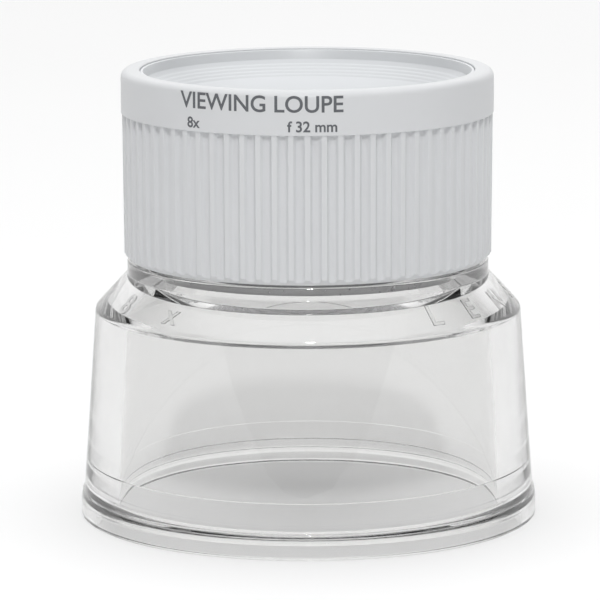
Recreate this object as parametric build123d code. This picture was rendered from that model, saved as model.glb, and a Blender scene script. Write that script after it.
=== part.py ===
from build123d import *
import math
import os

# A focusing stand loupe, 8x, for looking at film and prints. Millimetres, +Z up.
# The origin is on the table under the middle of the base, and +Z is the optical axis.
# The white head turns on a three-start thread on the clear base. It carries the lens
# barrel, which is keyed in the base, so the lenses rise and sink without turning.

# ---- clear base: outside ----
FOOT_RADIUS = 23.0
FOOT_WAIST_RADIUS = 22.98
FOOT_WAIST_Z = 1.7
FOOT_TOP_RADIUS = 22.84
FOOT_TOP_Z = 2.5
SKIRT_LOW_RADIUS = 22.66
SKIRT_LOW_Z = 2.6
SHOULDER_RADIUS = 21.34
SHOULDER_Z = 21.1
NECK_RADIUS = 18.12
NECK_LOW_Z = 24.6
NECK_TOP_Z = 25.9
SHOULDER_ROUND = 0.8
FOOT_ROUND = 0.25

# ---- clear base: inside ----
MOUTH_RADIUS = 21.05
MOUTH_TOP_RADIUS = 20.9
MOUTH_TOP_Z = 1.5
WALL_LOW_RADIUS = 19.2
WALL_LOW_Z = 1.9
WALL_STEP = 0.06
WALL_STEP_RADIUS = 19.14
WALL_STEP_Z = 4.9
CEILING_RADIUS = 18.15
CEILING_Z = 20.0
LEDGE_RADIUS = 16.2
LEDGE_Z = 22.3
BORE_RADIUS = 14.6

# ---- guide tube and three-start thread ----
TUBE_RADIUS = 15.9
TUBE_TOP_Z = 36.2
THREAD_STARTS = 3
THREAD_PITCH = 2.0
THREAD_LEAD = THREAD_STARTS * THREAD_PITCH
TUBE_RIDGE_CREST = 16.6
TUBE_RIDGE_LOW_Z = 27.2
TUBE_RIDGE_RISE = 8.2
HEAD_RIDGE_CREST = 16.15
HEAD_RIDGE_LOW_Z = 27.4
HEAD_RIDGE_RISE = 4.0
RIDGE_ROOT_HALF = 0.42
RIDGE_CREST_HALF = 0.2
RIDGE_SINK = 0.15

# ---- head: ribbed grip and rim band ----
GRIP_LOW_Z = 26.11
GRIP_LOW_RADIUS = 17.86
GRIP_CHAMFER_Z = 26.68
GRIP_RADIUS = 18.40
GRIP_TOP_RADIUS = 18.50
GRIP_TOP_Z = 40.78
RIB_COUNT = 72
RIB_ROOT_RADIUS = 18.1
RIB_CREST_SHARE = 0.36
RIB_FLANK_SHARE = 0.26
RIM_RADIUS = 18.6
RIM_TOP_Z = 45.0
RIM_ROUND = 0.75
HEAD_BORE_RADIUS = 16.85
WEB_LOW_Z = 37.4
WEB_TOP_Z = 38.6
WEB_HOLE_RADIUS = 13.05
CUP_SEAT_RADIUS = 16.7
CUP_SEAT_Z = 41.4
CUP_CAVITY_RADIUS = 15.85

# ---- eyecup dish ----
CUP_RADIUS = 16.65
CUP_TOP_Z = 44.85
CUP_LIP_RADIUS = 16.2
CUP_LIP_LOW_Z = 43.9
EYE_HOLE_RADIUS = 11.8
EYE_HOLE_TOP_Z = 40.7
CUP_WALL = 0.9
CUP_RIDGE_COUNT = 5
CUP_RIDGE_DEPTH = 0.08

# ---- lens barrel ----
BARREL_RADIUS = 14.55
BARREL_LOW_Z = 25.3
BARREL_SHOULDER_Z = 37.35
BARREL_NECK_RADIUS = 13.0
BARREL_TOP_Z = 39.6
LENS_BORE_RADIUS = 12.0
LENS_LIP_RADIUS = 11.2
LENS_LIP_Z = 38.2
KEY_WIDTH = 3.0
KEY_LOW_Z = 28.0
KEY_TOP_Z = 31.0
KEY_RADIUS = 15.2
SLOT_CLEARANCE = 0.06
SLOT_RADIUS = 15.26
SLOT_LOW_Z = 27.8
O_RING_Z = 34.2
O_RING_SECTION = 0.6
O_RING_RADIUS = 13.97
O_RING_GROOVE_RADIUS = 13.35
O_RING_GROOVE_HALF = 0.68

# ---- clip and travel stop ----
CLIP_INNER_RADIUS = 12.5
CLIP_OUTER_RADIUS = 14.0
CLIP_LOW_Z = 38.65
CLIP_TOP_Z = 39.3
CLIP_GAP_DEG = 30.0
CLIP_EYE_RADIUS = 0.35
CLIP_EYE_PLACE = 13.3
CLIP_EYE_DEG = 22.0
STOP_INNER_RADIUS = 14.7
STOP_HEIGHT = 1.0

# ---- lenses ----
LENS_RADIUS = 11.95
LENS_EDGE = 1.2
LENS_CURVE = 32.5
EYE_LENS_FLAT_Z = 38.2
FIELD_LENS_FLAT_Z = 26.3
SPACER_INNER_RADIUS = 10.9
SPACER_CLEARANCE = 0.02
RETAINER_INNER_RADIUS = 10.4
RETAINER_FLANGE_RADIUS = 14.4
RETAINER_LOW_Z = 24.6
RETAINER_NOTCH = 1.2
RETAINER_NOTCH_DEPTH = 0.4


def turned(points):
    """Solid of revolution about +Z from an (r, z) outline."""
    outline = Polyline(*[(r, 0, z) for r, z in points], close=True)
    return revolve(make_face(outline), Axis.Z)


def tube(inner, outer, low, high):
    """Plain ring between two heights."""
    return turned([(inner, low), (outer, low), (outer, high), (inner, high)])


def ring_edges(solid, radius, height, slack=0.05):
    """Circular edges of a solid at one radius and height."""
    def fits(edge):
        if edge.geom_type != GeomType.CIRCLE:
            return False
        at_height = abs(edge.center(CenterOf.BOUNDING_BOX).Z - height) < slack
        return at_height and abs(edge.radius - radius) < slack
    return [edge for edge in solid.edges() if fits(edge)]


def helix_ridges(root, crest, low, rise, phase_deg):
    """Trapezoid ridges, one per thread start, from a root radius to a crest radius."""
    sink = RIDGE_SINK if crest > root else -RIDGE_SINK
    inside = root - sink
    path = Helix(THREAD_LEAD, rise, root, center=(0, 0, low))
    section = Polyline(
        (inside, 0, low - RIDGE_ROOT_HALF),
        (root, 0, low - RIDGE_ROOT_HALF),
        (crest, 0, low - RIDGE_CREST_HALF),
        (crest, 0, low + RIDGE_CREST_HALF),
        (root, 0, low + RIDGE_ROOT_HALF),
        (inside, 0, low + RIDGE_ROOT_HALF),
        close=True,
    )
    ridge = sweep(make_face(section), path=path, is_frenet=True)
    step = 360.0 / THREAD_STARTS
    return [Rot(0, 0, phase_deg + i * step) * ridge for i in range(THREAD_STARTS)]


def key_blocks(width, inner, outer, low, high):
    """Two blocks on opposite sides, along X, for the keys and for their slots."""
    middle = (inner + outer) / 2
    block = Box(outer - inner, width, high - low)
    height = (low + high) / 2
    return [Pos(side * middle, 0, height) * block for side in (1, -1)]


def clear_base():
    """Foot, tapering skirt, conical shoulder, neck collar and threaded guide tube."""
    body = turned([
        (MOUTH_RADIUS, 0),
        (FOOT_RADIUS, 0),
        (FOOT_WAIST_RADIUS, FOOT_WAIST_Z),
        (FOOT_TOP_RADIUS, FOOT_TOP_Z),
        (SKIRT_LOW_RADIUS, SKIRT_LOW_Z),
        (SHOULDER_RADIUS, SHOULDER_Z),
        (NECK_RADIUS, NECK_LOW_Z),
        (NECK_RADIUS, NECK_TOP_Z),
        (TUBE_RADIUS, NECK_TOP_Z),
        (TUBE_RADIUS, TUBE_TOP_Z),
        (BORE_RADIUS, TUBE_TOP_Z),
        (BORE_RADIUS, LEDGE_Z),
        (LEDGE_RADIUS, LEDGE_Z),
        (CEILING_RADIUS, CEILING_Z),
        (WALL_STEP_RADIUS - WALL_STEP, WALL_STEP_Z),
        (WALL_STEP_RADIUS, WALL_STEP_Z),
        (WALL_LOW_RADIUS, WALL_LOW_Z),
        (MOUTH_TOP_RADIUS, MOUTH_TOP_Z),
    ])
    body = fillet(ring_edges(body, SHOULDER_RADIUS, SHOULDER_Z), SHOULDER_ROUND)
    body = fillet(ring_edges(body, FOOT_RADIUS, 0), FOOT_ROUND)
    body = fillet(ring_edges(body, NECK_RADIUS, NECK_TOP_Z), FOOT_ROUND)
    body = body + helix_ridges(TUBE_RADIUS, TUBE_RIDGE_CREST, TUBE_RIDGE_LOW_Z, TUBE_RIDGE_RISE, 0)
    slot_width = KEY_WIDTH + 2 * SLOT_CLEARANCE
    return body - key_blocks(slot_width, BORE_RADIUS - 1, SLOT_RADIUS, SLOT_LOW_Z, TUBE_TOP_Z + 1)


def rib_outline():
    """Toothed outline of the grip: narrow crests between shallow grooves with wide sloped flanks."""
    pitch = 2 * math.pi / RIB_COUNT
    outer = GRIP_TOP_RADIUS + 0.1
    crest = RIB_CREST_SHARE / 2 * pitch
    flank = RIB_FLANK_SHARE * pitch
    slope = flank / (GRIP_TOP_RADIUS - RIB_ROOT_RADIUS)
    outer_half = crest - slope * (outer - GRIP_TOP_RADIUS)
    root_half = crest + flank
    points = []
    for i in range(RIB_COUNT):
        for radius, turn in (
            (RIB_ROOT_RADIUS, -root_half),
            (outer, -outer_half),
            (outer, outer_half),
            (RIB_ROOT_RADIUS, root_half),
        ):
            angle = i * pitch + turn
            points.append((radius * math.cos(angle), radius * math.sin(angle)))
    return make_face(Polyline(*points, close=True))


def grip():
    """Ribbed sleeve under the rim, with the ribs running out through the lower chamfer."""
    ribbed = Pos(0, 0, GRIP_LOW_Z) * extrude(rib_outline(), GRIP_TOP_Z - GRIP_LOW_Z)
    envelope = turned([
        (0, GRIP_LOW_Z),
        (GRIP_LOW_RADIUS, GRIP_LOW_Z),
        (GRIP_RADIUS, GRIP_CHAMFER_Z),
        (GRIP_TOP_RADIUS, GRIP_TOP_Z),
        (0, GRIP_TOP_Z),
    ])
    return ribbed & envelope


def focus_ring():
    """White head: ribbed grip, smooth rim band, inner thread and the web that lifts the barrel."""
    rim = tube(0, RIM_RADIUS, GRIP_TOP_Z, RIM_TOP_Z)
    rim = fillet(ring_edges(rim, RIM_RADIUS, RIM_TOP_Z), RIM_ROUND)
    head = grip() + rim
    head = head - tube(0, HEAD_BORE_RADIUS, GRIP_LOW_Z - 1, WEB_LOW_Z)
    head = head - tube(0, WEB_HOLE_RADIUS, WEB_LOW_Z - 1, WEB_TOP_Z + 1)
    head = head - tube(0, CUP_CAVITY_RADIUS, WEB_TOP_Z, CUP_SEAT_Z)
    head = head - tube(0, CUP_SEAT_RADIUS, CUP_SEAT_Z, RIM_TOP_Z + 1)
    half_pitch_deg = 180.0 / THREAD_STARTS
    start_deg = 360.0 * (HEAD_RIDGE_LOW_Z - TUBE_RIDGE_LOW_Z) / THREAD_LEAD
    phase = start_deg + half_pitch_deg
    return head + helix_ridges(
        HEAD_BORE_RADIUS, HEAD_RIDGE_CREST, HEAD_RIDGE_LOW_Z, HEAD_RIDGE_RISE, phase
    )


def eyecup():
    """Dish that sits in the rim: a steep lip, then a shallow funnel with fine turned ridges."""
    funnel_slope = (CUP_LIP_LOW_Z - EYE_HOLE_TOP_Z) / (CUP_LIP_RADIUS - EYE_HOLE_RADIUS)
    cup = turned([
        (EYE_HOLE_RADIUS, EYE_HOLE_TOP_Z),
        (CUP_LIP_RADIUS, CUP_LIP_LOW_Z),
        (CUP_LIP_RADIUS + 0.15, CUP_TOP_Z),
        (CUP_RADIUS, CUP_TOP_Z),
        (CUP_RADIUS, CUP_SEAT_Z),
        (CUP_RADIUS - CUP_WALL, CUP_SEAT_Z),
        (EYE_HOLE_RADIUS, EYE_HOLE_TOP_Z - CUP_WALL),
    ])
    for i in range(CUP_RIDGE_COUNT):
        radius = CUP_LIP_RADIUS - 0.45 - 0.4 * i
        height = EYE_HOLE_TOP_Z + funnel_slope * (radius - EYE_HOLE_RADIUS)
        cup = cup - tube(radius - 0.08, radius + 0.08, height - CUP_RIDGE_DEPTH, height + 1)
    return cup


def lens_barrel():
    """Tube that holds the lenses, with two keys, an O-ring groove and a clip groove."""
    barrel = turned([
        (LENS_BORE_RADIUS, BARREL_LOW_Z),
        (BARREL_RADIUS, BARREL_LOW_Z),
        (BARREL_RADIUS, BARREL_SHOULDER_Z),
        (BARREL_NECK_RADIUS, BARREL_SHOULDER_Z),
        (BARREL_NECK_RADIUS, BARREL_TOP_Z),
        (LENS_LIP_RADIUS, BARREL_TOP_Z),
        (LENS_LIP_RADIUS, LENS_LIP_Z),
        (LENS_BORE_RADIUS, LENS_LIP_Z),
    ])
    barrel = barrel - tube(
        O_RING_GROOVE_RADIUS, BARREL_RADIUS + 1, O_RING_Z - O_RING_GROOVE_HALF, O_RING_Z + O_RING_GROOVE_HALF
    )
    barrel = barrel - tube(CLIP_INNER_RADIUS - 0.05, BARREL_NECK_RADIUS + 1, CLIP_LOW_Z - 0.02, CLIP_TOP_Z + 0.02)
    return barrel + key_blocks(KEY_WIDTH, BARREL_RADIUS - 1, KEY_RADIUS, KEY_LOW_Z, KEY_TOP_Z)


def sag(radius):
    """How far the convex lens face falls away from its crown at a radius."""
    return LENS_CURVE - math.sqrt(LENS_CURVE ** 2 - radius ** 2)


def lens(flat_z, direction):
    """Plano-convex lens: flat face at flat_z, convex face towards direction (+1 up, -1 down)."""
    edge_z = flat_z + direction * LENS_EDGE
    crown_z = edge_z + direction * sag(LENS_RADIUS)
    half = LENS_RADIUS / 2
    half_z = crown_z - direction * sag(half)
    outline = [
        Line((0, 0, flat_z), (LENS_RADIUS, 0, flat_z)),
        Line((LENS_RADIUS, 0, flat_z), (LENS_RADIUS, 0, edge_z)),
        ThreePointArc((LENS_RADIUS, 0, edge_z), (half, 0, half_z), (0, 0, crown_z)),
        Line((0, 0, crown_z), (0, 0, flat_z)),
    ]
    return revolve(make_face(outline), Axis.Z)


def lens_spacer():
    """Tube that keeps the two lenses apart, with a sloped seat at each end for the convex faces."""
    low = FIELD_LENS_FLAT_Z + LENS_EDGE + SPACER_CLEARANCE
    high = EYE_LENS_FLAT_Z - LENS_EDGE - SPACER_CLEARANCE
    seat = sag(LENS_RADIUS) - sag(SPACER_INNER_RADIUS)
    return turned([
        (SPACER_INNER_RADIUS, low + seat),
        (LENS_RADIUS, low),
        (LENS_RADIUS, high),
        (SPACER_INNER_RADIUS, high - seat),
    ])


def lens_retainer():
    """Flanged ring that clamps the lenses from below, with two notches for a spanner."""
    ring = turned([
        (RETAINER_INNER_RADIUS, RETAINER_LOW_Z),
        (RETAINER_FLANGE_RADIUS, RETAINER_LOW_Z),
        (RETAINER_FLANGE_RADIUS, BARREL_LOW_Z),
        (LENS_RADIUS, BARREL_LOW_Z),
        (LENS_RADIUS, FIELD_LENS_FLAT_Z),
        (RETAINER_INNER_RADIUS, FIELD_LENS_FLAT_Z),
    ])
    return ring - key_blocks(
        RETAINER_NOTCH, RETAINER_INNER_RADIUS - 1, LENS_RADIUS,
        RETAINER_LOW_Z - 1, RETAINER_LOW_Z + RETAINER_NOTCH_DEPTH,
    )


def damping_ring():
    """O-ring in the barrel's groove, which drags in the bore and steadies the head."""
    return Pos(0, 0, O_RING_Z) * Torus(O_RING_RADIUS, O_RING_SECTION)


def carrier_clip():
    """Split snap ring over the head's web, with two plier holes beside the gap."""
    ring = tube(CLIP_INNER_RADIUS, CLIP_OUTER_RADIUS, CLIP_LOW_Z, CLIP_TOP_Z)
    gap_width = 2 * CLIP_OUTER_RADIUS * math.sin(math.radians(CLIP_GAP_DEG / 2))
    gap = Pos(0, CLIP_OUTER_RADIUS, CLIP_LOW_Z) * Box(gap_width, 4, 4)
    ring = ring - gap
    for side in (1, -1):
        turn = Rot(0, 0, side * CLIP_EYE_DEG)
        ring = ring - turn * Pos(0, CLIP_EYE_PLACE, CLIP_LOW_Z) * Cylinder(CLIP_EYE_RADIUS, 4)
    return ring


def travel_stop():
    """Ring fixed on top of the guide tube, over the key slots, so the keys end the lift."""
    return tube(STOP_INNER_RADIUS, TUBE_RADIUS, TUBE_TOP_Z, TUBE_TOP_Z + STOP_HEIGHT)


PIECES = {
    "clear_base": clear_base,
    "travel_stop": travel_stop,
    "lens_barrel": lens_barrel,
    "eye_lens": lambda: lens(EYE_LENS_FLAT_Z, -1),
    "lens_spacer": lens_spacer,
    "field_lens": lambda: lens(FIELD_LENS_FLAT_Z, 1),
    "lens_retainer": lens_retainer,
    "damping_ring": damping_ring,
    "carrier_clip": carrier_clip,
    "focus_ring": focus_ring,
    "eyecup": eyecup,
}

os.makedirs("parts", exist_ok=True)
for node, make in PIECES.items():
    export_step(make(), f"parts/{node}.step")
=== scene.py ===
import math

import bmesh
import bpy
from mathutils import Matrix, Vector


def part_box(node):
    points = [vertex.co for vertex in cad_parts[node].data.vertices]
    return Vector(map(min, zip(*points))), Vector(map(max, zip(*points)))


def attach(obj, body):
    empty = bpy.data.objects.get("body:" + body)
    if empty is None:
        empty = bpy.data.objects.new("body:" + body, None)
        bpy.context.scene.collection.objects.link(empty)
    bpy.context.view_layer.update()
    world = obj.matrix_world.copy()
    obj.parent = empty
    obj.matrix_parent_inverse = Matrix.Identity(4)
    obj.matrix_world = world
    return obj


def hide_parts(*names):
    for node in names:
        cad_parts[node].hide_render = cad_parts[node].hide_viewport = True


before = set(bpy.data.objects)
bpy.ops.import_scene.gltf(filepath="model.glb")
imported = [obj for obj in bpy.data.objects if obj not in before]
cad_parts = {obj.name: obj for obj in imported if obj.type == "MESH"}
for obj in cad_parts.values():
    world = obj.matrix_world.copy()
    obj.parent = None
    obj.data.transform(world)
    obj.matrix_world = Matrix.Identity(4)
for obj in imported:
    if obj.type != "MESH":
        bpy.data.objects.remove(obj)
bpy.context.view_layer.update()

# Everything is in metres. Outlines are written in millimetres, as (radius, height) pairs.
MM = 0.001
TAU = 2 * math.pi

BASE_LOW, BASE_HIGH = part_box("clear_base")
RING_LOW, RING_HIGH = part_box("focus_ring")
CUP_LOW, CUP_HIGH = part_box("eyecup")
FOOT_RADIUS = round(BASE_HIGH.x / MM, 2)
TUBE_TOP = BASE_HIGH.z / MM
RING_BOTTOM = RING_LOW.z / MM
RING_TOP = RING_HIGH.z / MM
RIM_RADIUS = RING_HIGH.x / MM
CUP_TOP = CUP_HIGH.z / MM
CUP_RADIUS = CUP_HIGH.x / MM


# ---------------------------------------------------------------- mesh helpers

def new_object(name, bm, material, smooth_angle=32.0):
    """Finishes a bmesh as an object with smooth shading that breaks at real edges."""
    bmesh.ops.recalc_face_normals(bm, faces=bm.faces)
    for face in bm.faces:
        face.smooth = True
    limit = math.radians(smooth_angle)
    for edge in bm.edges:
        edge.smooth = len(edge.link_faces) == 2 and edge.calc_face_angle(0.0) < limit
    mesh = bpy.data.meshes.new(name)
    bm.to_mesh(mesh)
    bm.free()
    mesh.materials.append(material)
    piece = bpy.data.objects.new(name, mesh)
    bpy.context.scene.collection.objects.link(piece)
    return piece


def rounded(outline, steps=6):
    """Closed outline from (r, z, corner radius) points, with each corner replaced by an arc."""
    result = []
    count = len(outline)
    for i, (r, z, radius) in enumerate(outline):
        here = Vector((r, z))
        if not radius:
            result.append((r, z))
            continue
        back = Vector(outline[i - 1][:2]) - here
        ahead = Vector(outline[(i + 1) % count][:2]) - here
        half_angle = back.angle(ahead) / 2
        reach = min(radius / math.tan(half_angle), back.length * 0.49, ahead.length * 0.49)
        radius = reach * math.tan(half_angle)
        centre = here + (back.normalized() + ahead.normalized()).normalized() * radius / math.sin(half_angle)
        start = here + back.normalized() * reach - centre
        end = here + ahead.normalized() * reach - centre
        sweep = start.angle_signed(end)
        first = math.atan2(start.y, start.x)
        for k in range(steps + 1):
            angle = first - sweep * k / steps
            result.append((centre.x + radius * math.cos(angle), centre.y + radius * math.sin(angle)))
    return result


def lathe_mesh(outline, columns, radius_at=None):
    """Closed ring of quads from an outline. radius_at(r, z, angle) may reshape it round the axis."""
    bm = bmesh.new()
    rows = []
    for r, z in outline:
        row = []
        for i in range(columns):
            angle = TAU * i / columns
            reach = radius_at(r, z, angle) if radius_at else r
            row.append(bm.verts.new((
                reach * MM * math.cos(angle), reach * MM * math.sin(angle), z * MM,
            )))
        rows.append(row)
    for k, row in enumerate(rows):
        above = rows[(k + 1) % len(rows)]
        for i in range(columns):
            j = (i + 1) % columns
            bm.faces.new((row[i], row[j], above[j], above[i]))
    return bm


def helix_mesh(section, lead, low, rise, starts, phase=0.0, steps_per_turn=96):
    """Closed ridges with a given (r, dz) section, climbing low to low + rise, one per thread start."""
    bm = bmesh.new()
    steps = round(steps_per_turn * rise / lead)
    for start in range(starts):
        rows = []
        for k in range(steps + 1):
            share = k / steps
            angle = phase + TAU * (start / starts + share * rise / lead)
            rows.append([
                bm.verts.new((
                    r * MM * math.cos(angle), r * MM * math.sin(angle), (low + share * rise + dz) * MM,
                ))
                for r, dz in section
            ])
        for row, above in zip(rows, rows[1:]):
            for i in range(len(section)):
                j = (i + 1) % len(section)
                bm.faces.new((row[i], row[j], above[j], above[i]))
        bm.faces.new(rows[0])
        bm.faces.new(list(reversed(rows[-1])))
    return bm


# ---------------------------------------------------------------- materials

def node(tree, kind, **values):
    made = tree.nodes.new(kind)
    for key, value in values.items():
        setattr(made, key, value)
    return made


def new_material(name):
    material = bpy.data.materials.new(name)
    material.use_nodes = True
    tree = material.node_tree
    shader = tree.nodes["Principled BSDF"]
    return material, tree, shader


def speckle(tree, scale, detail=3.0, stretch=(1, 1, 1)):
    """Noise in object space, in cycles per metre."""
    coordinates = node(tree, "ShaderNodeTexCoord")
    mapping = node(tree, "ShaderNodeMapping")
    mapping.inputs["Scale"].default_value = stretch
    texture = node(tree, "ShaderNodeTexNoise")
    texture.inputs["Scale"].default_value = scale
    texture.inputs["Detail"].default_value = detail
    tree.links.new(coordinates.outputs["Object"], mapping.inputs["Vector"])
    tree.links.new(mapping.outputs["Vector"], texture.inputs["Vector"])
    return texture.outputs["Fac"]


def remap(tree, value, low, high, start=0.3, stop=0.7):
    """Noise spread between two values."""
    ramp = node(tree, "ShaderNodeMapRange")
    ramp.inputs["From Min"].default_value = start
    ramp.inputs["From Max"].default_value = stop
    ramp.inputs["To Min"].default_value = low
    ramp.inputs["To Max"].default_value = high
    tree.links.new(value, ramp.inputs["Value"])
    return ramp.outputs["Result"]


def tint(tree, factor, first, second):
    """Colour between two close shades."""
    mix = node(tree, "ShaderNodeMix", data_type="RGBA")
    mix.inputs["A"].default_value = (*first, 1)
    mix.inputs["B"].default_value = (*second, 1)
    tree.links.new(factor, mix.inputs["Factor"])
    return mix.outputs["Result"]


def bump(tree, height, strength, distance):
    made = node(tree, "ShaderNodeBump")
    made.inputs["Strength"].default_value = strength
    made.inputs["Distance"].default_value = distance
    tree.links.new(height, made.inputs["Height"])
    return made.outputs["Normal"]


def moulded_plastic(name, first, second, roughness=(0.36, 0.46), grain=0.12):
    """Satin injection-moulded plastic: a faint spark-eroded grain and slow changes of shade."""
    material, tree, shader = new_material(name)
    slow = remap(tree, speckle(tree, 60, 2), 0, 1)
    fine = speckle(tree, 9000, 4)
    tree.links.new(tint(tree, slow, first, second), shader.inputs["Base Color"])
    tree.links.new(remap(tree, fine, *roughness), shader.inputs["Roughness"])
    tree.links.new(bump(tree, fine, grain, 0.00002), shader.inputs["Normal"])
    shader.inputs["IOR"].default_value = 1.5
    shader.inputs["Specular IOR Level"].default_value = 0.45
    return material


def clear_solid(name, shade, ior, lamp_shade, density):
    """Polished clear acrylic or glass with faint flow marks, which absorbs density per metre.

    Light on its way to other surfaces passes straight through, tinted by lamp_shade.
    """
    material, tree, shader = new_material(name)
    flow = speckle(tree, 140, 2, (1, 1, 0.35))
    haze = speckle(tree, 900, 5)
    shader.inputs["Base Color"].default_value = (*shade, 1)
    shader.inputs["Transmission Weight"].default_value = 1.0
    shader.inputs["IOR"].default_value = ior
    tree.links.new(remap(tree, haze, 0.0, 0.03, 0.5, 0.8), shader.inputs["Roughness"])
    tree.links.new(bump(tree, flow, 0.06, 0.0002), shader.inputs["Normal"])
    let_through = node(tree, "ShaderNodeBsdfTransparent")
    let_through.inputs["Color"].default_value = (*lamp_shade, 1)
    path = node(tree, "ShaderNodeLightPath")
    surface = shader.outputs[0]
    for kind_of_ray in ("Is Diffuse Ray", "Is Shadow Ray"):
        mix = node(tree, "ShaderNodeMixShader")
        tree.links.new(path.outputs[kind_of_ray], mix.inputs["Fac"])
        tree.links.new(surface, mix.inputs[1])
        tree.links.new(let_through.outputs[0], mix.inputs[2])
        surface = mix.outputs[0]
    tree.links.new(surface, tree.nodes["Material Output"].inputs["Surface"])
    soak = node(tree, "ShaderNodeVolumeAbsorption")
    soak.inputs["Color"].default_value = (0, 0, 0, 1)
    soak.inputs["Density"].default_value = density
    tree.links.new(soak.outputs["Volume"], tree.nodes["Material Output"].inputs["Volume"])
    return material


def turned_metal(name, shade):
    """Lathe-turned metal: fine circular tool marks about the optical axis."""
    material, tree, shader = new_material(name)
    coordinates = node(tree, "ShaderNodeTexCoord")
    rings = node(tree, "ShaderNodeTexWave", wave_type="RINGS", rings_direction="Z")
    rings.inputs["Scale"].default_value = 1500
    rings.inputs["Distortion"].default_value = 0.6
    rings.inputs["Detail"].default_value = 3
    tree.links.new(coordinates.outputs["Object"], rings.inputs["Vector"])
    dark = tuple(0.8 * part for part in shade)
    tree.links.new(tint(tree, rings.outputs["Fac"], dark, shade), shader.inputs["Base Color"])
    tree.links.new(remap(tree, rings.outputs["Fac"], 0.22, 0.34, 0, 1), shader.inputs["Roughness"])
    tree.links.new(bump(tree, rings.outputs["Fac"], 0.2, 0.00003), shader.inputs["Normal"])
    shader.inputs["Metallic"].default_value = 1.0
    return material


def print_ink(name, shade):
    """Pad-printed ink with slightly uneven cover."""
    material, tree, shader = new_material(name)
    cover = remap(tree, speckle(tree, 2500, 3), 0, 1)
    light = tuple(1.25 * part for part in shade)
    tree.links.new(tint(tree, cover, shade, light), shader.inputs["Base Color"])
    tree.links.new(remap(tree, cover, 0.4, 0.55, 0, 1), shader.inputs["Roughness"])
    return material


def pale_floor(name):
    material, tree, shader = new_material(name)
    slow = remap(tree, speckle(tree, 3, 2), 0, 1)
    tree.links.new(tint(tree, slow, (0.9, 0.9, 0.9), (0.92, 0.92, 0.92)), shader.inputs["Base Color"])
    shader.inputs["Roughness"].default_value = 0.85
    shader.inputs["Specular IOR Level"].default_value = 0.1
    return material


WHITE = moulded_plastic("white_moulded", (0.64, 0.65, 0.663), (0.66, 0.67, 0.683))
# Painted light: the eyecup's white is a lighter copy of the head's white. The extra whiteness stands in for
# the key light falling more fully on the up-facing dish.
LIT_CUP_WHITE = moulded_plastic("cup_white_painted_lit", (0.685, 0.702, 0.72), (0.705, 0.722, 0.74), (0.3, 0.4))
BLACK = moulded_plastic("black_moulded", (0.018, 0.018, 0.02), (0.03, 0.03, 0.032), (0.5, 0.65), 0.3)
RUBBER = moulded_plastic("nitrile_rubber", (0.02, 0.02, 0.02), (0.035, 0.035, 0.035), (0.45, 0.7), 0.4)
CLEAR = clear_solid("clear_acrylic", (0.888, 0.888, 0.884), 1.49, (0.95, 0.95, 0.95), 14.0)
GLASS = clear_solid("lens_glass", (0.96, 0.975, 0.97), 1.52, (0.92, 0.92, 0.92), 2.0)
ALUMINIUM = turned_metal("turned_aluminium", (0.45, 0.45, 0.46))
STEEL = turned_metal("spring_steel", (0.5, 0.5, 0.52))
INK = print_ink("grey_ink", (0.10, 0.105, 0.115))


# ---------------------------------------------------------------- clear base

SKIRT_LOW = (22.66, 2.6)
FOOT_TOP = (22.84, 2.5)
FOOT_WAIST = (22.98, 1.7)
SHOULDER = (21.34, 21.1)
NECK_RADIUS = 18.12
NECK_LOW = 24.6
NECK_TOP = 25.9
MOUTH_RADIUS = 21.05
MOUTH_TOP = (20.9, 1.5)
WALL_LOW = (19.2, 1.9)
WALL_STEP = (19.14, 4.9)
STEP_DEPTH = 0.06
CEILING = (18.15, 20.0)
LEDGE = (16.2, 22.3)
BORE_RADIUS = 14.6
TUBE_RADIUS = 15.9
SLOT_RADIUS = 15.26
SLOT_LOW = 27.8
SLOT_HALF_WIDTH = 1.56
THREAD_LEAD = 6.0
THREAD_STARTS = 3
RIDGE_ROOT_HALF = 0.42
RIDGE_CREST_HALF = 0.2
RIDGE_SINK = 0.02
TUBE_RIDGE_CREST = 16.6
TUBE_RIDGE_LOW = 27.2
TUBE_RIDGE_RISE = 8.2
BASE_COLUMNS = 360


def ridge_section(root, crest):
    """Trapezoid section of a thread ridge, from just inside its wall to its crest."""
    return [
        (root, -RIDGE_ROOT_HALF), (crest, -RIDGE_CREST_HALF),
        (crest, RIDGE_CREST_HALF), (root, RIDGE_ROOT_HALF),
    ]


def slotted(r, z, angle):
    """Opens the two key slots in the guide tube's bore, along X."""
    in_bore = abs(r - BORE_RADIUS) < 0.01 and z > SLOT_LOW
    across = abs(SLOT_RADIUS * math.sin(angle))
    return SLOT_RADIUS if in_bore and across < SLOT_HALF_WIDTH else r


def clear_moulding():
    outline = rounded([
        (MOUTH_RADIUS, 0, 0.15),
        (FOOT_RADIUS, 0, 0.3),
        (*FOOT_WAIST, 0.5),
        (*FOOT_TOP, 0.1),
        (*SKIRT_LOW, 0.04),
        (*SHOULDER, 0.8),
        (NECK_RADIUS, NECK_LOW, 0.2),
        (NECK_RADIUS, NECK_TOP, 0.2),
        (TUBE_RADIUS, NECK_TOP, 0.15),
        (TUBE_RADIUS, TUBE_TOP, 0.1),
        (BORE_RADIUS, TUBE_TOP, 0),
        (BORE_RADIUS, SLOT_LOW + 0.02, 0),
        (BORE_RADIUS, SLOT_LOW - 0.02, 0),
        (BORE_RADIUS, LEDGE[1], 0.1),
        (*LEDGE, 0.1),
        (*CEILING, 0.1),
        (WALL_STEP[0] - STEP_DEPTH, WALL_STEP[1] + 0.04, 0.03),
        (WALL_STEP[0], WALL_STEP[1] - 0.04, 0.03),
        (*WALL_LOW, 0.9),
        (*MOUTH_TOP, 0.8),
    ])
    piece = new_object("clear_moulding", lathe_mesh(outline, BASE_COLUMNS, slotted), CLEAR)
    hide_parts("clear_base")
    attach(piece, "base")
    return piece


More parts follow.
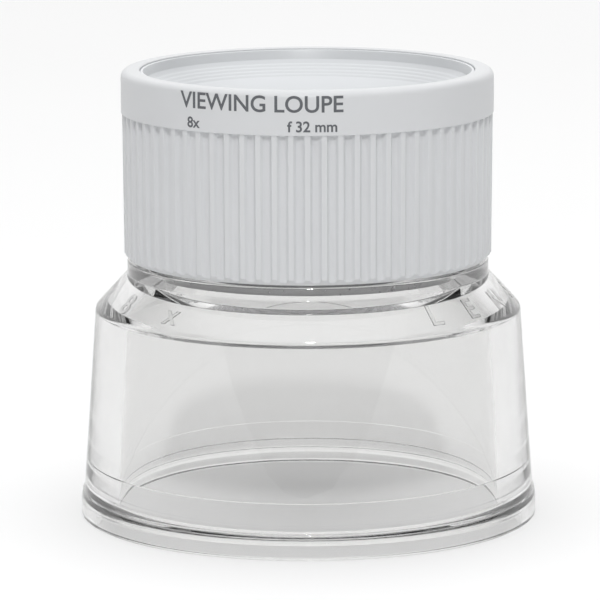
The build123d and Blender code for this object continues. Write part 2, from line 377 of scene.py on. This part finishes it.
def base_thread():
    """Three-start thread on the outside of the guide tube."""
    section = ridge_section(TUBE_RADIUS - RIDGE_SINK, TUBE_RIDGE_CREST)
    bm = helix_mesh(section, THREAD_LEAD, TUBE_RIDGE_LOW, TUBE_RIDGE_RISE, THREAD_STARTS)
    piece = new_object("base_thread", bm, CLEAR)
    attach(piece, "base")
    return piece


# ---------------------------------------------------------------- white head

RIB_COUNT = 72
RIB_SAMPLES = 20
RIB_CREST_SHARE = 0.36
RIB_ROOT = 18.1
RIB_TOP = 40.78
CREST_LOW = 18.40
CREST_HIGH = 18.50
CHAMFER_HEIGHT = 0.57
CHAMFER_RADIUS = 17.86
HEAD_BORE = 16.85
WEB = (37.4, 38.6)
WEB_HOLE = 13.05
CUP_SEAT = 41.4
CUP_CAVITY = 15.85
SEAT_RADIUS = 16.7
RIM_ROUND = 0.75
CHAMFER_STEPS = 8
WALL_STEPS = 12
HEAD_RIDGE_CREST = 16.15
HEAD_RIDGE_LOW = 27.4
HEAD_RIDGE_RISE = 4.0


def groove(angle):
    """0 on a rib's crest and 1 at the bottom of a groove, which has steep sides and a round floor."""
    share = (angle / TAU * RIB_COUNT) % 1.0
    from_groove = abs(share - 0.5) / (0.5 - RIB_CREST_SHARE / 2)
    return max(0.0, 1.0 - from_groove ** 4)


def ribbed(r, z, angle):
    """Cuts the ribs into the head's outer face, and runs them out through the lower chamfer."""
    if z > RIB_TOP - 0.005 or r < CHAMFER_RADIUS - 0.01:
        return r
    rise = (z - RING_BOTTOM) / (RIB_TOP - RING_BOTTOM)
    crest = CREST_LOW + (CREST_HIGH - CREST_LOW) * rise
    return min(r, crest - (crest - RIB_ROOT) * groove(angle))


def grip_outline():
    """Outer face from the bottom edge up, then the rim, the cup's seat, the web and the bore."""
    rows = [(CHAMFER_RADIUS, RING_BOTTOM)]
    for k in range(1, CHAMFER_STEPS + 1):
        share = k / CHAMFER_STEPS
        rows.append((
            CHAMFER_RADIUS + share * (CREST_LOW - CHAMFER_RADIUS) + 0.001,
            RING_BOTTOM + share * CHAMFER_HEIGHT,
        ))
    wall_low = RING_BOTTOM + CHAMFER_HEIGHT
    for k in range(1, WALL_STEPS + 1):
        rows.append((RIM_RADIUS, wall_low + (RIB_TOP - 0.01 - wall_low) * k / WALL_STEPS))
    rim = rounded([
        (RIM_RADIUS, RIB_TOP, 0.08),
        (RIM_RADIUS, RING_TOP, RIM_ROUND),
        (SEAT_RADIUS, RING_TOP, 0.12),
        (SEAT_RADIUS, CUP_SEAT, 0),
        (CUP_CAVITY, CUP_SEAT, 0),
        (CUP_CAVITY, WEB[1], 0.2),
        (WEB_HOLE, WEB[1], 0),
        (WEB_HOLE, WEB[0], 0),
        (HEAD_BORE, WEB[0], 0.2),
        (HEAD_BORE, RING_BOTTOM, 0.1),
    ])
    return rows + rim


def grip_ring():
    """Ribbed head with its smooth rim band."""
    columns = RIB_COUNT * RIB_SAMPLES
    bm = lathe_mesh(grip_outline(), columns, ribbed)
    piece = new_object("grip_ring", bm, WHITE, 40.0)
    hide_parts("focus_ring")
    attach(piece, "focus_head")
    return piece


def head_thread():
    """Matching thread in the head's bore, half a pitch off the one on the tube."""
    section = ridge_section(HEAD_BORE + RIDGE_SINK, HEAD_RIDGE_CREST)
    phase = TAU * ((HEAD_RIDGE_LOW - TUBE_RIDGE_LOW) / THREAD_LEAD + 0.5 / THREAD_STARTS)
    bm = helix_mesh(section, THREAD_LEAD, HEAD_RIDGE_LOW, HEAD_RIDGE_RISE, THREAD_STARTS, phase)
    piece = new_object("head_thread", bm, WHITE)
    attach(piece, "focus_head")
    return piece


# ---------------------------------------------------------------- eyecup

LIP_RADIUS = 16.2
LIP_LOW = 43.9
EYE_HOLE = (11.8, 40.7)
CUP_WALL = 0.9
TURNED_RIDGES = 5
TURNED_RIDGE_STEP = 0.4
TURNED_RIDGE_DEPTH = 0.05
FIRST_RIDGE_INSET = 0.45
CUP_COLUMNS = 256


def eyecup_dish():
    """Shallow funnel with fine turned grooves near its lip."""
    slope = (LIP_LOW - EYE_HOLE[1]) / (LIP_RADIUS - EYE_HOLE[0])
    outline = [(EYE_HOLE[0], EYE_HOLE[1] - 0.05), (EYE_HOLE[0] + 0.06, EYE_HOLE[1] + 0.03)]
    for i in reversed(range(TURNED_RIDGES)):
        middle = LIP_RADIUS - FIRST_RIDGE_INSET - TURNED_RIDGE_STEP * i
        for offset, depth in (
            (-0.1, 0), (-0.05, TURNED_RIDGE_DEPTH), (0.05, TURNED_RIDGE_DEPTH), (0.1, 0),
        ):
            radius = middle + offset
            outline.append((radius, EYE_HOLE[1] + slope * (radius - EYE_HOLE[0]) - depth))
    outline += [
        (LIP_RADIUS - 0.05, LIP_LOW - 0.03),
        (LIP_RADIUS, LIP_LOW + 0.06),
        (LIP_RADIUS + 0.13, CUP_TOP - 0.12),
        (LIP_RADIUS + 0.2, CUP_TOP - 0.02),
        (LIP_RADIUS + 0.28, CUP_TOP),
        (CUP_RADIUS - 0.06, CUP_TOP),
        (CUP_RADIUS, CUP_TOP - 0.06),
        (CUP_RADIUS, CUP_SEAT),
        (CUP_RADIUS - CUP_WALL, CUP_SEAT),
        (EYE_HOLE[0], EYE_HOLE[1] - CUP_WALL),
    ]
    piece = new_object("eyecup_dish", lathe_mesh(outline, CUP_COLUMNS), LIT_CUP_WHITE)
    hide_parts("eyecup")
    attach(piece, "focus_head")
    return piece


# ---------------------------------------------------------------- figures

INK_THICKNESS = 0.012
PRINT_MIDDLE = 42.5
# Word, size, boldness, and its place along and up the rim band from PRINT_MIDDLE at the front.
PRINTED = (
    ("VIEWING LOUPE", 2.25, 0.03, -4.9, 0.55),
    ("8x", 1.45, 0.03, -11.8, -1.35),
    ("f 32 mm", 1.45, 0.03, 0.5, -1.35),
)
FIGURE_RELIEF = 0.14
FIGURE_SIZE = 3.3
FIGURE_UP_CONE = 1.1
# Figure and its bearing from the front, towards +X, in degrees.
FIGURES = (("8", -63.0), ("x", -41.5), ("L", 38.0), ("E", 53.0), ("N", 70.0), ("S", 88.0))


def text_mesh(body, size, thickness, bold=0.0):
    """Flat text as a mesh: x along the line, y up it, z out of the surface, all in millimetres."""
    curve = bpy.data.curves.new("figures", "FONT")
    curve.body = body
    curve.size = size
    curve.align_x = "CENTER"
    curve.extrude = thickness / 2
    curve.offset = bold
    curve.resolution_u = 6
    holder = bpy.data.objects.new("figures", curve)
    bpy.context.scene.collection.objects.link(holder)
    bpy.context.view_layer.update()
    mesh = bpy.data.meshes.new_from_object(holder)
    bpy.data.objects.remove(holder)
    bm = bmesh.new()
    bm.from_mesh(mesh)
    bpy.data.meshes.remove(mesh)
    bmesh.ops.remove_doubles(bm, verts=bm.verts, dist=1e-5)
    bmesh.ops.triangulate(bm, faces=bm.faces)
    return bm


def join(meshes):
    """One mesh from several."""
    whole = bmesh.new()
    for bm in meshes:
        mesh = bpy.data.meshes.new("part")
        bm.to_mesh(mesh)
        bm.free()
        whole.from_mesh(mesh)
        bpy.data.meshes.remove(mesh)
    return whole


def shifted(bm, x, y):
    for vert in bm.verts:
        vert.co += Vector((x, y, 0))
    return bm


def wrap_on_band(bm, radius, middle_deg, height):
    """Bends flat figures round the rim. middle_deg is measured from the front, towards +X."""
    for vert in bm.verts:
        angle = math.radians(middle_deg) + vert.co.x / radius
        reach = radius + vert.co.z
        vert.co = Vector((
            reach * MM * math.sin(angle), -reach * MM * math.cos(angle), (height + vert.co.y) * MM,
        ))
    return bm


def wrap_on_cone(bm, middle_deg, up_cone):
    """Lays flat figures on the conical shoulder, up_cone millimetres above its lower corner."""
    low = Vector(SHOULDER)
    high = Vector((NECK_RADIUS, NECK_LOW))
    slope = (high - low).normalized()
    outward = Vector((slope.y, -slope.x))
    for vert in bm.verts:
        place = low + slope * (up_cone + vert.co.y) + outward * vert.co.z
        angle = math.radians(middle_deg) + vert.co.x / (low + slope * up_cone).x
        vert.co = Vector((
            place.x * MM * math.sin(angle), -place.x * MM * math.cos(angle), place.y * MM,
        ))
    return bm


def rim_print():
    """Grey printing on the rim band: a plain phrase, with the magnification and focal length below."""
    bm = join([
        shifted(text_mesh(body, size, INK_THICKNESS, bold), along, up)
        for body, size, bold, along, up in PRINTED
    ])
    piece = new_object("rim_print", wrap_on_band(bm, RIM_RADIUS + 0.004, 0.0, PRINT_MIDDLE), INK)
    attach(piece, "focus_head")
    return piece


def shoulder_figures():
    """Raised clear figures moulded on the shoulder."""
    bm = join([
        wrap_on_cone(text_mesh(body, FIGURE_SIZE, FIGURE_RELIEF, 0.03), middle_deg, FIGURE_UP_CONE)
        for body, middle_deg in FIGURES
    ])
    piece = new_object("shoulder_figures", bm, CLEAR)
    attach(piece, "base")
    return piece


# ---------------------------------------------------------------- carried-over nodes

def dress_nodes():
    """Materials for the nodes that are shown as they come from model.glb."""
    finishes = {
        "travel_stop": BLACK,
        "lens_barrel": WHITE,
        "eye_lens": GLASS,
        "lens_spacer": BLACK,
        "field_lens": GLASS,
        "lens_retainer": ALUMINIUM,
        "damping_ring": RUBBER,
        "carrier_clip": STEEL,
    }
    for name, material in finishes.items():
        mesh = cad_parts[name].data
        mesh.materials.clear()
        mesh.materials.append(material)


# ---------------------------------------------------------------- studio

FLOOR_HALF = 3.0
KEY_PLACE = (0.01, -0.48, 0.52)
KEY_SIZE = (0.04, 0.09)
KEY_POWER = 1.5
# Light sheets of the tent: the way each faces, and over which cosines it goes from low to high.
TENT_SHEETS = (
    {"facing": (0, 1, 0), "start": 0.45, "stop": 0.9, "low": 0.1, "high": 1.1},
    {"facing": (0, 0, 1), "start": 0.5, "stop": 0.95, "low": 0.0, "high": 1.65},
)
CAMERA_PLACE = (0, -0.4395, 0.1001)
CAMERA_DOWN = 10.139
CAMERA_ROLL = 0.2
CAMERA_TURN = 0.069
CAMERA_LENS = 266.3
CAMERA_SENSOR = 36
LIGHT_BOUNCES = 32


def floor():
    bm = bmesh.new()
    bmesh.ops.create_grid(bm, x_segments=8, y_segments=8, size=FLOOR_HALF)
    piece = new_object("floor", bm, pale_floor("pale_floor"))


def soft_light(name, place, size, power, target=(0, 0, 0.02)):
    lamp = bpy.data.lights.new(name, "AREA")
    lamp.shape = "RECTANGLE"
    lamp.size, lamp.size_y = size
    lamp.energy = power
    holder = bpy.data.objects.new(name, lamp)
    bpy.context.scene.collection.objects.link(holder)
    holder.location = place
    holder.rotation_euler = (Vector(target) - Vector(place)).to_track_quat("-Z", "Y").to_euler()


def studio_air():
    """Light tent: a bright sheet behind and a brighter one overhead, with dim sides and front."""
    world = bpy.data.worlds.new("tent")
    bpy.context.scene.world = world
    world.use_nodes = True
    tree = world.node_tree
    background = tree.nodes["Background"]
    background.inputs["Color"].default_value = (1, 1, 1, 1)
    direction = node(tree, "ShaderNodeTexCoord")
    total = None
    for shape in TENT_SHEETS:
        along = node(tree, "ShaderNodeVectorMath", operation="DOT_PRODUCT")
        along.inputs[1].default_value = shape["facing"]
        tree.links.new(direction.outputs["Generated"], along.inputs[0])
        sheet = node(tree, "ShaderNodeMapRange", interpolation_type="SMOOTHSTEP")
        sheet.inputs["From Min"].default_value = shape["start"]
        sheet.inputs["From Max"].default_value = shape["stop"]
        sheet.inputs["To Min"].default_value = shape["low"]
        sheet.inputs["To Max"].default_value = shape["high"]
        tree.links.new(along.outputs["Value"], sheet.inputs["Value"])
        if total:
            both = node(tree, "ShaderNodeMath", operation="ADD")
            tree.links.new(total, both.inputs[0])
            tree.links.new(sheet.outputs["Result"], both.inputs[1])
            total = both.outputs[0]
        else:
            total = sheet.outputs["Result"]
    tree.links.new(total, background.inputs["Strength"])


def camera():
    """Long lens, a little above the loupe, looking down about ten degrees."""
    lens = bpy.data.cameras.new("camera")
    lens.sensor_width = CAMERA_SENSOR
    lens.lens = CAMERA_LENS
    lens.clip_start = 0.01
    holder = bpy.data.objects.new("camera", lens)
    bpy.context.scene.collection.objects.link(holder)
    holder.location = CAMERA_PLACE
    holder.rotation_mode = "XYZ"
    holder.rotation_euler = [math.radians(d) for d in (90 - CAMERA_DOWN, CAMERA_ROLL, CAMERA_TURN)]
    bpy.context.scene.camera = holder


def light_paths():
    """Plain display colours, and enough bounces for light trapped inside the clear base."""
    scene = bpy.context.scene
    scene.view_settings.view_transform = "Standard"
    scene.cycles.caustics_refractive = False
    scene.cycles.caustics_reflective = False
    scene.cycles.max_bounces = LIGHT_BOUNCES
    scene.cycles.glossy_bounces = LIGHT_BOUNCES
    scene.cycles.transmission_bounces = LIGHT_BOUNCES
    scene.cycles.transparent_max_bounces = LIGHT_BOUNCES


camera()
clear_moulding()
base_thread()
grip_ring()
head_thread()
eyecup_dish()
rim_print()
shoulder_figures()
dress_nodes()
floor()
studio_air()
soft_light("key", KEY_PLACE, KEY_SIZE, KEY_POWER)
light_paths()
